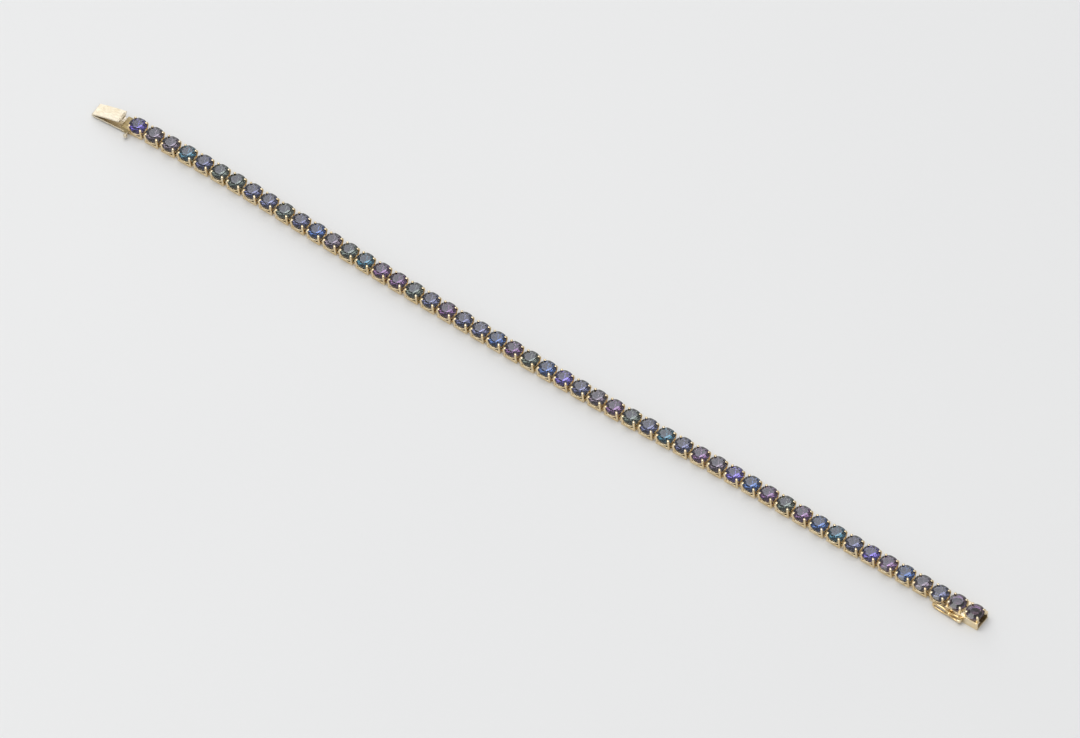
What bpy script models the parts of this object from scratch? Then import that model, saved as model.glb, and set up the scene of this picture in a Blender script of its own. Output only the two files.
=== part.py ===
"""Tennis bracelet: round stones in four-prong gold baskets, unfastened and laid out in a gentle curve.

The row runs along X. The spring tongue is at its -X end, and the box clasp with the figure-eight
safety catch at its +X end. Sizes are in metres, +Z is up and the baskets stand on Z = 0.
"""

import math

import bmesh
import bpy
from mathutils import Matrix, Vector

# Row of stones.
PLAIN_LINKS = 49
CLASP_STONES = 2
PITCH = 0.0035

# Round stone, cut with eight crown and eight pavilion facets.
STONE_DIAMETER = 0.0032
TABLE_DIAMETER = 0.0018
CROWN_HEIGHT = 0.00048
PAVILION_DEPTH = 0.0013
GIRDLE_LEVEL = 0.00208
FACETS = 8

# Basket: an open rectangular foot with a prong rising from each corner.
FOOT_LENGTH = 0.00284
FOOT_WIDTH = 0.0022
FOOT_BAR = 0.0005
FOOT_HEIGHT = 0.00055
PRONG_THICKNESS = 0.0004
PRONG_ANGLE = math.radians(40)
PRONG_BITE = 0.00012
PRONG_RISE = 0.00034
PRONG_ROOT_LEVEL = 0.00012
RAIL_LEVEL = 0.00115
RAIL_THICKNESS = 0.00026

# Hinge tube that joins each foot to the next, and the gap where two nodes meet.
TUBE_WIDTH = 0.001
TUBE_BITE = 0.00012
TUBE_SIDES = 8
MEETING_GAP = 0.0001

# Tongue: a folded spring strip on a block at the first basket, with a thumb press and a ball post.
BLOCK_LENGTH = 0.0013
BLOCK_WIDTH = 0.0026
BLOCK_HEIGHT = 0.0015
STRIP_WIDTH = 0.0025
STRIP_THICKNESS = 0.00028
STRIP_LEVEL = 0.00035
LOWER_LEAF_LENGTH = 0.006
UPPER_LEAF_GAP = 0.00035
UPPER_LEAF_RISE = 0.0016
PRESS_LENGTH = 0.0005
PRESS_WIDTH = 0.0016
PRESS_HEIGHT = 0.00055
POST_RADIUS = 0.00018
BALL_RADIUS = 0.0004
POST_LEVEL = 0.00088
TONGUE_TURN = math.radians(3)

# Box clasp under the last stones, open at its +X end.
BOX_WIDTH = 0.0033
BOX_HEIGHT = 0.00175
BOX_WALL = 0.00028
BOX_END_WALL = 0.0003
BOX_EDGE = 0.0001
BOX_LIP = 0.00015
SEAT_RADIUS = 0.0009
CLASP_STONE_RAISE = 0.0002
CLASP_STONE_CLEARANCE = 0.00006
CLASP_PRONG_SINK = 0.00012
TONGUE_CLEARANCE = 0.0001

# Safety catch: a figure-eight of round wire that swings on an upright barrel.
WIRE_RADIUS = 0.0002
BARREL_RADIUS = 0.00048
BARREL_BORE = 0.00028
BARREL_HEIGHT = 0.0006
BARREL_STANDOFF = 0.00044
LUG_THICKNESS = 0.0005
CATCH_HALF_HEIGHT = 0.0006
CATCH_END_MARGIN = 0.0005
CATCH_TURN = math.radians(-182)
WAIST_BAND_LENGTH = 0.0004
WAIST_BAND_WIDTH = 0.0006
WAIST_BAND_HEIGHT = 0.0008

# Where the row lies: share of the strung length from its middle, and sideways share of the pitch.
ROUTE = (
    (-0.52, 0.06),
    (-0.38, 0.16),
    (-0.25, -0.03),
    (-0.12, -0.16),
    (0.06, -0.19),
    (0.20, -0.05),
    (0.34, -0.07),
    (0.52, 0.00),
)

# Half outline of the figure-eight: share of its reach, and share of its half height.
CATCH_OUTLINE = (
    (0.00, 0.00),
    (0.00, 0.60),
    (0.03, 0.92),
    (0.10, 1.00),
    (0.22, 0.90),
    (0.32, 0.55),
    (0.38, 0.38),
    (0.45, 0.55),
    (0.56, 0.88),
    (0.70, 1.00),
    (0.84, 0.92),
    (0.95, 0.62),
    (1.00, 0.00),
)

GIRDLE_RADIUS = STONE_DIAMETER / 2
FLAT_RADIUS = GIRDLE_RADIUS * math.cos(math.pi / FACETS)
PRONG_RADIUS = FLAT_RADIUS - PRONG_BITE + PRONG_THICKNESS / 2
HALF_GAP = (PITCH - FOOT_LENGTH) / 2
TUBE_RADIUS = HALF_GAP + TUBE_BITE
CORNER_X = (FOOT_LENGTH - FOOT_BAR) / 2
CORNER_Y = (FOOT_WIDTH - FOOT_BAR) / 2
STRUNG_LENGTH = (PLAIN_LINKS + CLASP_STONES) * PITCH

# Places along the clasp, from the stone beside it.
BLOCK_FRONT = -FOOT_LENGTH / 2 - BLOCK_LENGTH
BOX_START = -FOOT_LENGTH / 2
BOX_MOUTH = (CLASP_STONES - 1) * PITCH + FOOT_LENGTH / 2 + BOX_LIP
BARREL_PLACE = (CLASP_STONES - 1.5) * PITCH
BARREL_SIDE = -(BOX_WIDTH / 2 + BARREL_STANDOFF)
CATCH_REACH = BOX_MOUTH - BARREL_PLACE - CORNER_X - BLOCK_FRONT + CATCH_END_MARGIN

GOLD = ("yellow_gold", (0.83, 0.62, 0.30, 1.0), 0.22, 1.0)
SAPPHIRE = ("sapphire", (0.07, 0.08, 0.22, 1.0), 0.08, 0.0)


def clear_scene():
    for item in list(bpy.data.objects):
        bpy.data.objects.remove(item)


def new_collection(name):
    collection = bpy.data.collections.new(name)
    bpy.context.scene.collection.children.link(collection)
    return collection


def new_material(name, colour, roughness, metallic):
    material = bpy.data.materials.new(name)
    material.use_nodes = True
    shader = material.node_tree.nodes["Principled BSDF"]
    shader.inputs["Base Color"].default_value = colour
    shader.inputs["Roughness"].default_value = roughness
    shader.inputs["Metallic"].default_value = metallic
    return material


def object_of(name, mesh):
    """An object in the work collection, which holds what is still being joined and cut."""
    made = bpy.data.objects.new(name, mesh)
    bpy.data.collections["workbench"].objects.link(made)
    return made


def settled(item):
    """The object's evaluated shape as a plain mesh object, in place of the object."""
    bpy.context.view_layer.update()
    graph = bpy.context.evaluated_depsgraph_get()
    mesh = bpy.data.meshes.new_from_object(item.evaluated_get(graph))
    made = object_of(item.name + "_settled", mesh)
    made.matrix_world = item.matrix_world
    bpy.data.objects.remove(item)
    shape = bmesh.new()
    shape.from_mesh(mesh)
    bmesh.ops.remove_doubles(shape, verts=shape.verts, dist=1e-7)
    shape.to_mesh(mesh)
    shape.free()
    return made


def boolean(first, second, operation):
    """First joined with or cut by second, as one new object. Both inputs are used up."""
    modifier = first.modifiers.new("boolean", "BOOLEAN")
    modifier.operation = operation
    modifier.object = second
    modifier.solver = "EXACT"
    made = settled(first)
    bpy.data.objects.remove(second)
    return made


def joined(first, *others):
    for other in others:
        first = boolean(first, other, "UNION")
    return first


def cut(first, *others):
    for other in others:
        first = boolean(first, other, "DIFFERENCE")
    return first


def block(name, low, high):
    """A box from its low corner to its high corner."""
    shape = bmesh.new()
    bmesh.ops.create_cube(shape, size=1)
    centre = (Vector(low) + Vector(high)) / 2
    size = Vector(high) - Vector(low)
    bmesh.ops.scale(shape, vec=size, verts=shape.verts)
    bmesh.ops.translate(shape, vec=centre, verts=shape.verts)
    mesh = bpy.data.meshes.new(name)
    shape.to_mesh(mesh)
    shape.free()
    return object_of(name, mesh)


def cylinder(name, radius, length, sides, centre, axis):
    """A cylinder about its centre, along axis X, Y or Z, with a flat to each side of the axes."""
    shape = bmesh.new()
    bmesh.ops.create_cone(
        shape,
        cap_ends=True,
        segments=sides,
        radius1=radius,
        radius2=radius,
        depth=length,
        matrix=Matrix.Rotation(math.pi / sides, 4, "Z"),
    )
    turn = {"X": Matrix.Rotation(math.pi / 2, 4, "Y"), "Y": Matrix.Rotation(math.pi / 2, 4, "X")}
    bmesh.ops.transform(shape, matrix=turn.get(axis, Matrix.Identity(4)), verts=shape.verts)
    bmesh.ops.translate(shape, vec=centre, verts=shape.verts)
    mesh = bpy.data.meshes.new(name)
    shape.to_mesh(mesh)
    shape.free()
    return object_of(name, mesh)


def cut_stone(name, girdle_level, pavilion_depth):
    """A faceted stone on the Z axis, turned so that a flat of its girdle faces each diagonal."""
    profile = (
        (0, girdle_level + CROWN_HEIGHT),
        (TABLE_DIAMETER / 2, girdle_level + CROWN_HEIGHT),
        (GIRDLE_RADIUS, girdle_level),
        (0, girdle_level - pavilion_depth),
    )
    mesh = bpy.data.meshes.new(name)
    points = [(radius, 0, level) for radius, level in profile]
    mesh.from_pydata(points, [(i, i + 1) for i in range(len(points) - 1)], [])
    stone = object_of(name, mesh)
    screw = stone.modifiers.new("turn", "SCREW")
    screw.steps = FACETS
    screw.render_steps = FACETS
    screw.use_merge_vertices = True
    screw.merge_threshold = 1e-6
    stone = settled(stone)
    stone.data.transform(Matrix.Rotation(math.pi / FACETS, 4, "Z"))
    return stone


def prong(name, root, tip):
    """A square prong that leans from its root to its tip."""
    half = PRONG_THICKNESS / 2
    made = block(name, (-half, -half, root.z), (half, half, tip.z))
    middle = (root.z + tip.z) / 2
    for vertex in made.data.vertices:
        end = tip if vertex.co.z > middle else root
        vertex.co.x += end.x
        vertex.co.y += end.y
    return made


def four_prongs(name, radius, root_side, root_level, girdle_level):
    """Four prongs that rise from the corners, at root_side from the row, past the girdle."""
    prongs = []
    for side_x in (-1, 1):
        for side_y in (-1, 1):
            tip = Vector(
                (
                    side_x * radius * math.cos(PRONG_ANGLE),
                    side_y * radius * math.sin(PRONG_ANGLE),
                    girdle_level + PRONG_RISE,
                )
            )
            root = Vector((side_x * CORNER_X, side_y * root_side, root_level))
            prongs.append(prong(f"{name}_{side_x}_{side_y}", root, tip))
    return prongs


def hinge_tube(name, place):
    """The tube across the gap between two feet, standing just clear of the ground."""
    level = TUBE_RADIUS + MEETING_GAP / 2
    return cylinder(name, TUBE_RADIUS, TUBE_WIDTH, TUBE_SIDES, (place, 0, level), "Y")


def meeting_tube(name):
    """The tube at the -X side of a node's first foot, moved clear of the node before it."""
    return hinge_tube(name, -PITCH / 2 + TUBE_BITE + MEETING_GAP)


def basket_link(name, tube_before, tube_after):
    """One link: the stone with its prongs, foot and hinge tubes, as one body."""
    foot = cut(
        block(
            f"{name}_foot",
            (-FOOT_LENGTH / 2, -FOOT_WIDTH / 2, 0),
            (FOOT_LENGTH / 2, FOOT_WIDTH / 2, FOOT_HEIGHT),
        ),
        block(
            f"{name}_window",
            (-FOOT_LENGTH / 2 + FOOT_BAR, -FOOT_WIDTH / 2 + FOOT_BAR, -FOOT_HEIGHT),
            (FOOT_LENGTH / 2 - FOOT_BAR, FOOT_WIDTH / 2 - FOOT_BAR, 2 * FOOT_HEIGHT),
        ),
    )
    pieces = four_prongs(name, PRONG_RADIUS, CORNER_Y, PRONG_ROOT_LEVEL, GIRDLE_LEVEL)
    pieces.append(cut_stone(f"{name}_stone", GIRDLE_LEVEL, PAVILION_DEPTH))
    half = RAIL_THICKNESS / 2
    tip_side = PRONG_RADIUS * math.sin(PRONG_ANGLE)
    rise = (RAIL_LEVEL - PRONG_ROOT_LEVEL) / (GIRDLE_LEVEL + PRONG_RISE - PRONG_ROOT_LEVEL)
    rail_side = CORNER_Y + rise * (tip_side - CORNER_Y)
    for side in (-rail_side, rail_side):
        low = (-CORNER_X, side - half, RAIL_LEVEL - half)
        high = (CORNER_X, side + half, RAIL_LEVEL + half)
        pieces.append(block(f"{name}_rail", low, high))
    if tube_before:
        pieces.append(meeting_tube(f"{name}_tube_before"))
    if tube_after:
        pieces.append(hinge_tube(f"{name}_tube_after", PITCH / 2))
    return joined(foot, *pieces)


def route_side(share):
    """Sideways place of the row, as a share of the pitch, on a smooth curve through ROUTE."""
    last = len(ROUTE) - 1
    i = max(k for k in range(last) if ROUTE[k][0] <= share or k == 0)
    (x0, y0), (x1, y1) = ROUTE[i], ROUTE[i + 1]

    def slope(k):
        before, after = ROUTE[max(k - 1, 0)], ROUTE[min(k + 1, last)]
        return (after[1] - before[1]) / (after[0] - before[0])

    span = x1 - x0
    t = (share - x0) / span
    return (
        y0 * (2 * t**3 - 3 * t**2 + 1)
        + slope(i) * span * (t**3 - 2 * t**2 + t)
        + y1 * (3 * t**2 - 2 * t**3)
        + slope(i + 1) * span * (t**3 - t**2)
    )


def stations():
    """Each stone's place and heading on the route, a pitch apart."""
    count = PLAIN_LINKS + CLASP_STONES
    places = []
    x = -PITCH * (count - 1) / 2
    for _ in range(count):
        y = route_side(x / STRUNG_LENGTH) * PITCH
        step = PITCH / 100
        ahead = route_side((x + step) / STRUNG_LENGTH) * PITCH
        heading = math.atan2(ahead - y, step)
        places.append((Vector((x, y, 0)), heading))
        x += PITCH * math.cos(heading)
    return places


def standing(place, heading):
    return Matrix.Translation(place) @ Matrix.Rotation(heading, 4, "Z")


def copies_in_one(name, placed):
    """One mesh object that holds a copy of each (object, matrix) given, none of which touch."""
    shape = bmesh.new()
    for source, matrix in placed:
        mesh = source.data.copy()
        mesh.transform(matrix)
        shape.from_mesh(mesh)
        bpy.data.meshes.remove(mesh)
    mesh = bpy.data.meshes.new(name)
    shape.to_mesh(mesh)
    shape.free()
    return object_of(name, mesh)


def stone_line(name, places, first, middle, final):
    """A run of links as one body. Every second link is laid first, and the others join them."""
    placed = []
    for i, (place, heading) in enumerate(places):
        kind = first if i == 0 else final if i == len(places) - 1 else middle
        placed.append((kind, standing(place, heading)))
    return boolean(
        copies_in_one(f"{name}_odd", placed[0::2]),
        copies_in_one(f"{name}_even", placed[1::2]),
        "UNION",
    )


def folded_strip():
    """The tongue's strip, seen from the side: lower leaf, fold at the tip, and upper leaf."""
    tip = BLOCK_FRONT - LOWER_LEAF_LENGTH
    rear = BLOCK_FRONT - UPPER_LEAF_GAP
    low = STRIP_LEVEL
    inner = low + STRIP_THICKNESS
    fold = 2 * STRIP_THICKNESS
    outline = (
        (BLOCK_FRONT + BLOCK_LENGTH / 2, low),
        (tip + STRIP_THICKNESS, low),
        (tip, low + STRIP_THICKNESS / 2),
        (tip, low + fold * 0.8),
        (tip + STRIP_THICKNESS, low + fold * 1.1),
        (rear, inner + UPPER_LEAF_RISE + STRIP_THICKNESS),
        (rear, inner + UPPER_LEAF_RISE),
        (tip + fold, inner),
        (BLOCK_FRONT + BLOCK_LENGTH / 2, inner),
    )
    curve = bpy.data.curves.new("folded_strip", "CURVE")
    curve.dimensions = "2D"
    curve.fill_mode = "BOTH"
    curve.extrude = STRIP_WIDTH / 2
    spline = curve.splines.new("POLY")
    spline.points.add(len(outline) - 1)
    for point, (x, z) in zip(spline.points, outline):
        point.co = (x, z, 0, 1)
    spline.use_cyclic_u = True
    strip = object_of("folded_strip", curve)
    strip = settled(strip)
    strip.data.transform(Matrix.Rotation(math.pi / 2, 4, "X"))
    return strip


def spring_tongue():
    """The first link with the tongue's block, strip, thumb press and ball post on it."""
    strip = folded_strip()
    rear = BLOCK_FRONT - UPPER_LEAF_GAP
    leaf_top = STRIP_LEVEL + UPPER_LEAF_RISE + 2 * STRIP_THICKNESS
    end_block = block(
        "end_block",
        (BLOCK_FRONT, -BLOCK_WIDTH / 2, 0),
        (-CORNER_X, BLOCK_WIDTH / 2, BLOCK_HEIGHT),
    )
    press_low = leaf_top - STRIP_THICKNESS / 2 - PRESS_LENGTH * UPPER_LEAF_RISE / LOWER_LEAF_LENGTH
    press = block(
        "thumb_press",
        (rear - PRESS_LENGTH / 2, -PRESS_WIDTH / 2, press_low),
        (rear + PRESS_LENGTH / 2, PRESS_WIDTH / 2, press_low + PRESS_HEIGHT),
    )
    ball_side = BARREL_SIDE - BALL_RADIUS / 2
    shank_length = abs(ball_side) - CORNER_Y
    shank = cylinder(
        "post_shank",
        POST_RADIUS,
        shank_length,
        TUBE_SIDES,
        (-CORNER_X, ball_side + shank_length / 2, POST_LEVEL),
        "Y",
    )
    shape = bmesh.new()
    bmesh.ops.create_uvsphere(shape, u_segments=10, v_segments=6, radius=BALL_RADIUS)
    bmesh.ops.transform(shape, matrix=Matrix.Rotation(math.pi / 2, 4, "X"), verts=shape.verts)
    bmesh.ops.translate(shape, vec=(-CORNER_X, ball_side, POST_LEVEL), verts=shape.verts)
    mesh = bpy.data.meshes.new("post_ball")
    shape.to_mesh(mesh)
    shape.free()
    ball = object_of("post_ball", mesh)
    return joined(basket_link("tongue_link", False, False), end_block, strip, press, shank, ball)


def clasp_box():
    """The hollow box with its prongs, notch, hinge tube and catch barrel, from its first stone."""
    half = BOX_WIDTH / 2
    shell = block("box_shell", (BOX_START, -half, 0), (BOX_MOUTH, half, BOX_HEIGHT))
    bevel = shell.modifiers.new("edges", "BEVEL")
    bevel.width = BOX_EDGE
    bevel.segments = 1
    shell = settled(shell)
    prongs = []
    seats = []
    for stone in range(CLASP_STONES):
        radius = FLAT_RADIUS + CLASP_STONE_CLEARANCE + PRONG_THICKNESS * 0.75
        side = half - BOX_EDGE - PRONG_THICKNESS
        root = BOX_HEIGHT - CLASP_PRONG_SINK
        girdle = GIRDLE_LEVEL + CLASP_STONE_RAISE
        for made in four_prongs(f"clasp_{stone}", radius, side, root, girdle):
            made.data.transform(Matrix.Translation((stone * PITCH, 0, 0)))
            prongs.append(made)
        centre = (stone * PITCH, 0, BOX_HEIGHT)
        seats.append(cylinder(f"seat_{stone}", SEAT_RADIUS, BOX_HEIGHT, 12, centre, "Z"))
    middle = BOX_HEIGHT / 2
    lug = block(
        "barrel_lug",
        (BARREL_PLACE - LUG_THICKNESS / 2, BARREL_SIDE, middle - BARREL_HEIGHT / 2 + 0.00002),
        (BARREL_PLACE + LUG_THICKNESS / 2, -half + BOX_WALL / 2, middle + BARREL_HEIGHT / 2 - 0.00002),
    )
    centre = (BARREL_PLACE, BARREL_SIDE, middle)
    barrel = cylinder("barrel", BARREL_RADIUS, BARREL_HEIGHT, 12, centre, "Z")
    bore = cylinder("barrel_bore", BARREL_BORE, 2 * BARREL_HEIGHT, 12, centre, "Z")
    cavity = block(
        "tongue_cavity",
        (BOX_START + BOX_END_WALL, -half + BOX_WALL, BOX_WALL),
        (BOX_MOUTH + BOX_WALL, half - BOX_WALL, BOX_HEIGHT - BOX_WALL),
    )
    notch_depth = UPPER_LEAF_GAP + PRESS_LENGTH / 2 + TONGUE_CLEARANCE - PRESS_LENGTH * 0.2
    notch = block(
        "press_notch",
        (BOX_MOUTH - notch_depth, -PRESS_WIDTH / 2 - TONGUE_CLEARANCE, BOX_HEIGHT / 2),
        (BOX_MOUTH + BOX_WALL, PRESS_WIDTH / 2 + TONGUE_CLEARANCE, BOX_HEIGHT + BOX_WALL),
    )
    made = joined(shell, *prongs, lug, barrel, meeting_tube("box_tube"))
    return cut(made, cavity, notch, bore, *seats)


def figure_eight():
    """The catch's wire, closed on itself, with a band round its waist. Its hinge is on the Z axis."""
    half = [(u * CATCH_REACH, w * CATCH_HALF_HEIGHT) for u, w in CATCH_OUTLINE]
    outline = half + [(u, -w) for u, w in half[-2:0:-1]]
    curve = bpy.data.curves.new("figure_eight", "CURVE")
    curve.dimensions = "3D"
    curve.bevel_depth = WIRE_RADIUS
    curve.bevel_resolution = 1
    spline = curve.splines.new("POLY")
    spline.points.add(len(outline) - 1)
    for point, (x, z) in zip(spline.points, outline):
        point.co = (x, 0, z, 1)
    spline.use_cyclic_u = True
    wire = settled(object_of("figure_eight", curve))
    waist = min(CATCH_OUTLINE[4:-4], key=lambda row: row[1])[0] * CATCH_REACH
    band = block(
        "waist_band",
        (waist - WAIST_BAND_LENGTH / 2, -WAIST_BAND_WIDTH / 2, -WAIST_BAND_HEIGHT / 2),
        (waist + WAIST_BAND_LENGTH / 2, WAIST_BAND_WIDTH / 2, WAIST_BAND_HEIGHT / 2),
    )
    return joined(wire, band)


def finished(item, name, material, root, matrix):
    """The shape as a named part of the bracelet, standing where matrix says, under the root."""
    part = bpy.data.objects.new(name, item.data)
    bpy.data.objects.remove(item)
    part.data.name = name
    part.data.materials.clear()
    part.data.materials.append(material)
    bpy.data.collections["tennis_bracelet"].objects.link(part)
    part.parent = root
    part.matrix_local = matrix
    return part


def middle_of(parts):
    """The centre of the footprint of all the parts."""
    bpy.context.view_layer.update()
    corners = [part.matrix_world @ vertex.co for part in parts for vertex in part.data.vertices]
    lows = [min(corner[axis] for corner in corners) for axis in (0, 1)]
    highs = [max(corner[axis] for corner in corners) for axis in (0, 1)]
    return Vector([(low + high) / 2 for low, high in zip(lows, highs)] + [0])


def main():
    clear_scene()
    new_collection("tennis_bracelet")
    new_collection("workbench")
    gold = new_material(*GOLD)
    sapphire = new_material(*SAPPHIRE)
    root = bpy.data.objects.new("bracelet_frame", None)
    bpy.data.collections["tennis_bracelet"].objects.link(root)

    places = stations()
    first = basket_link("first_link", True, True)
    middle = basket_link("middle_link", False, True)
    final = basket_link("final_link", False, False)
    half_way = (PLAIN_LINKS + 1) // 2
    line_a = stone_line("line_a", places[1:half_way], first, middle, final)
    line_b = stone_line("line_b", places[half_way:PLAIN_LINKS], first, middle, final)
    for pattern in (first, middle, final):
        bpy.data.objects.remove(pattern)

    tongue_place, tongue_heading = places[0]
    tongue_stand = standing(tongue_place, tongue_heading + TONGUE_TURN)
    box_place, box_next = places[PLAIN_LINKS][0], places[-1][0]
    box_heading = math.atan2(box_next.y - box_place.y, box_next.x - box_place.x)
    box_stand = standing(box_place, box_heading)
    hinge = Matrix.Translation((BARREL_PLACE, BARREL_SIDE, BOX_HEIGHT / 2))
    folded_back = hinge @ Matrix.Rotation(CATCH_TURN, 4, "Z")

    parts = [
        finished(line_a, "stone_line_tongue_side", gold, root, Matrix.Identity(4)),
        finished(line_b, "stone_line_box_side", gold, root, Matrix.Identity(4)),
        finished(spring_tongue(), "spring_tongue", gold, root, tongue_stand),
        finished(clasp_box(), "clasp_box", gold, root, box_stand),
        finished(figure_eight(), "safety_catch", gold, root, box_stand @ folded_back),
    ]
    for i in range(CLASP_STONES):
        level = GIRDLE_LEVEL + CLASP_STONE_RAISE
        depth = level - BOX_HEIGHT + BOX_WALL - CLASP_STONE_CLEARANCE
        stone = cut_stone(f"clasp_stone_{i}", level, depth)
        shift = Matrix.Translation((i * PITCH, 0, 0))
        parts.append(finished(stone, f"clasp_stone_{i + 1}", sapphire, root, box_stand @ shift))
    root.location = -middle_of(parts)


main()
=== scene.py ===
import math

import bpy
from mathutils import Matrix, Vector


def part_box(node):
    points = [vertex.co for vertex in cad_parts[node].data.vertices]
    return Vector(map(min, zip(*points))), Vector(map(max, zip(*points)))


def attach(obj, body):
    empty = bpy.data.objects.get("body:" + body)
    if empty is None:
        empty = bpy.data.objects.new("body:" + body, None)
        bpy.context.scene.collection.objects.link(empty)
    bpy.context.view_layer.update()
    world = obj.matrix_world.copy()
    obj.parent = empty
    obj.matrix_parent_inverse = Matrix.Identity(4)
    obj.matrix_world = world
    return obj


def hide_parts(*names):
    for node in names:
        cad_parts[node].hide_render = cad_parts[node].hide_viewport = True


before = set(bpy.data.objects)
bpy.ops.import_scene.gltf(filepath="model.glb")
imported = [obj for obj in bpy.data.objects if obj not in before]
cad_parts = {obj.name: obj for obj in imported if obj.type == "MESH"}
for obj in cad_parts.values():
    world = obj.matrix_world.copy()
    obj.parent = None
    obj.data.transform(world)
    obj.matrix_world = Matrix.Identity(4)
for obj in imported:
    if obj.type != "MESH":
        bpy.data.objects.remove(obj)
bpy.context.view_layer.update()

# The row of links: 49 plain baskets and the two stones on the clasp, strung at one pitch.
# It was laid down by hand, so it lies in a shallow curve, whose middle sags towards the viewer.
PITCH = 0.0035
PLAIN_LINKS = 49
CLASP_STONES = 2
STRUNG_LENGTH = (PLAIN_LINKS + CLASP_STONES) * PITCH
TONGUE_TURN = math.radians(3)

# Share of the strung length from its middle, and sideways share of the pitch.
ROUTE = (
    (-0.52, 0.06),
    (-0.38, 0.16),
    (-0.25, -0.03),
    (-0.12, -0.16),
    (0.06, -0.19),
    (0.20, -0.05),
    (0.34, -0.07),
    (0.52, 0.00),
)


def route_side(share):
    """Sideways place of the row, as a share of the pitch, on a smooth curve through ROUTE."""
    last = len(ROUTE) - 1
    i = max(k for k in range(last) if ROUTE[k][0] <= share or k == 0)
    (x0, y0), (x1, y1) = ROUTE[i], ROUTE[i + 1]

    def slope(k):
        before, after = ROUTE[max(k - 1, 0)], ROUTE[min(k + 1, last)]
        return (after[1] - before[1]) / (after[0] - before[0])

    span = x1 - x0
    t = (share - x0) / span
    return (
        y0 * (2 * t**3 - 3 * t**2 + 1)
        + slope(i) * span * (t**3 - 2 * t**2 + t)
        + y1 * (3 * t**2 - 2 * t**3)
        + slope(i + 1) * span * (t**3 - t**2)
    )


def stations():
    """Each stone's place and heading on the route, a pitch apart."""
    count = PLAIN_LINKS + CLASP_STONES
    places = []
    x = -PITCH * (count - 1) / 2
    for _ in range(count):
        y = route_side(x / STRUNG_LENGTH) * PITCH
        step = PITCH / 100
        ahead = route_side((x + step) / STRUNG_LENGTH) * PITCH
        heading = math.atan2(ahead - y, step)
        places.append((Vector((x, y, 0)), heading))
        x += PITCH * math.cos(heading)
    return places


def middle_of(node):
    low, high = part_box(node)
    return (Vector(low) + Vector(high)) / 2


def standing(place, heading):
    return Matrix.Translation(place) @ Matrix.Rotation(heading, 4, "Z")


row = stations()
shift = middle_of("clasp_stone_1") - row[PLAIN_LINKS][0]
shift.z = 0
row = [(place + shift, heading) for place, heading in row]
box_place = row[PLAIN_LINKS][0]
box_run = row[-1][0] - box_place
link_stands = [standing(*station) for station in row[1:PLAIN_LINKS]]
tongue_stand = standing(row[0][0], row[0][1] + TONGUE_TURN)
box_stand = standing(box_place, math.atan2(box_run.y, box_run.x))


# The camera: a long lens that looks down on the row from the clasp's side.
CAMERA_AZIMUTH = math.radians(35.8)
CAMERA_ELEVATION = math.radians(53.5)
CAMERA_DISTANCE = 1.92
CAMERA_LENS = 378
CAMERA_SENSOR = 36
CAMERA_REACH = 20
MIDDLE_STONE = 25
STONE_TOP = 0.00256
FRAMING_RIGHT = -0.00118
FRAMING_UP = -0.00042

back = Vector(
    (
        math.sin(CAMERA_AZIMUTH) * math.cos(CAMERA_ELEVATION),
        -math.cos(CAMERA_AZIMUTH) * math.cos(CAMERA_ELEVATION),
        math.sin(CAMERA_ELEVATION),
    )
)
right = Vector((math.cos(CAMERA_AZIMUTH), math.sin(CAMERA_AZIMUTH), 0))
up = back.cross(right)
aim = row[MIDDLE_STONE][0] + Vector((0, 0, STONE_TOP)) + right * FRAMING_RIGHT + up * FRAMING_UP
bpy.ops.object.select_all(action="DESELECT")
bpy.ops.object.camera_add(location=aim + back * CAMERA_DISTANCE)
camera = bpy.context.object
camera.rotation_euler = back.to_track_quat("Z", "Y").to_euler()
camera.data.lens = CAMERA_LENS
camera.data.sensor_width = CAMERA_SENSOR
camera.data.clip_end = CAMERA_REACH
bpy.context.scene.camera = camera


# The table top: a smooth, pale grey card that runs far past the picture.
FLOOR_SIZE = 6
FLOOR_COLOUR = (0.80, 0.80, 0.79, 1)
FLOOR_COLOUR_SHADED = (0.77, 0.77, 0.765, 1)
FLOOR_ROUGHNESS = 0.6
CLOUD_SCALE = 9
GRAIN_SCALE = 900
GRAIN_DEPTH = 0.00001


def new_material(name):
    """A new material, its nodes, links and shader, and coordinates that are fixed to the object."""
    material = bpy.data.materials.new(name)
    material.use_nodes = True
    nodes = material.node_tree.nodes
    shader = nodes["Principled BSDF"]
    place = nodes.new("ShaderNodeTexCoord")
    return material, nodes, material.node_tree.links, shader, place.outputs["Object"]


def noise(nodes, links, place, scale, detail, stretch=(1, 1, 1)):
    """Fractal noise with about scale waves to the metre, drawn out where stretch is below 1."""
    mapping = nodes.new("ShaderNodeMapping")
    mapping.inputs["Scale"].default_value = stretch
    texture = nodes.new("ShaderNodeTexNoise")
    texture.inputs["Scale"].default_value = scale
    texture.inputs["Detail"].default_value = detail
    links.new(place, mapping.inputs["Vector"])
    links.new(mapping.outputs["Vector"], texture.inputs["Vector"])
    return texture.outputs["Fac"]


def mixed(nodes, links, share, first, second):
    """A colour between first and second. Either may be a colour or another node's output."""
    mix = nodes.new("ShaderNodeMix")
    mix.data_type = "RGBA"
    links.new(share, mix.inputs["Factor"])
    for socket, colour in (("A", first), ("B", second)):
        inlet = next(i for i in mix.inputs if i.name == socket and i.type == "RGBA")
        if isinstance(colour, tuple):
            inlet.default_value = colour
        else:
            links.new(colour, inlet)
    return next(o for o in mix.outputs if o.type == "RGBA")


def raised(nodes, links, shader, height, distance):
    """The surface rises and falls with height, by up to distance in metres."""
    bump = nodes.new("ShaderNodeBump")
    bump.inputs["Distance"].default_value = distance
    links.new(height, bump.inputs["Height"])
    links.new(bump.outputs["Normal"], shader.inputs["Normal"])


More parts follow.
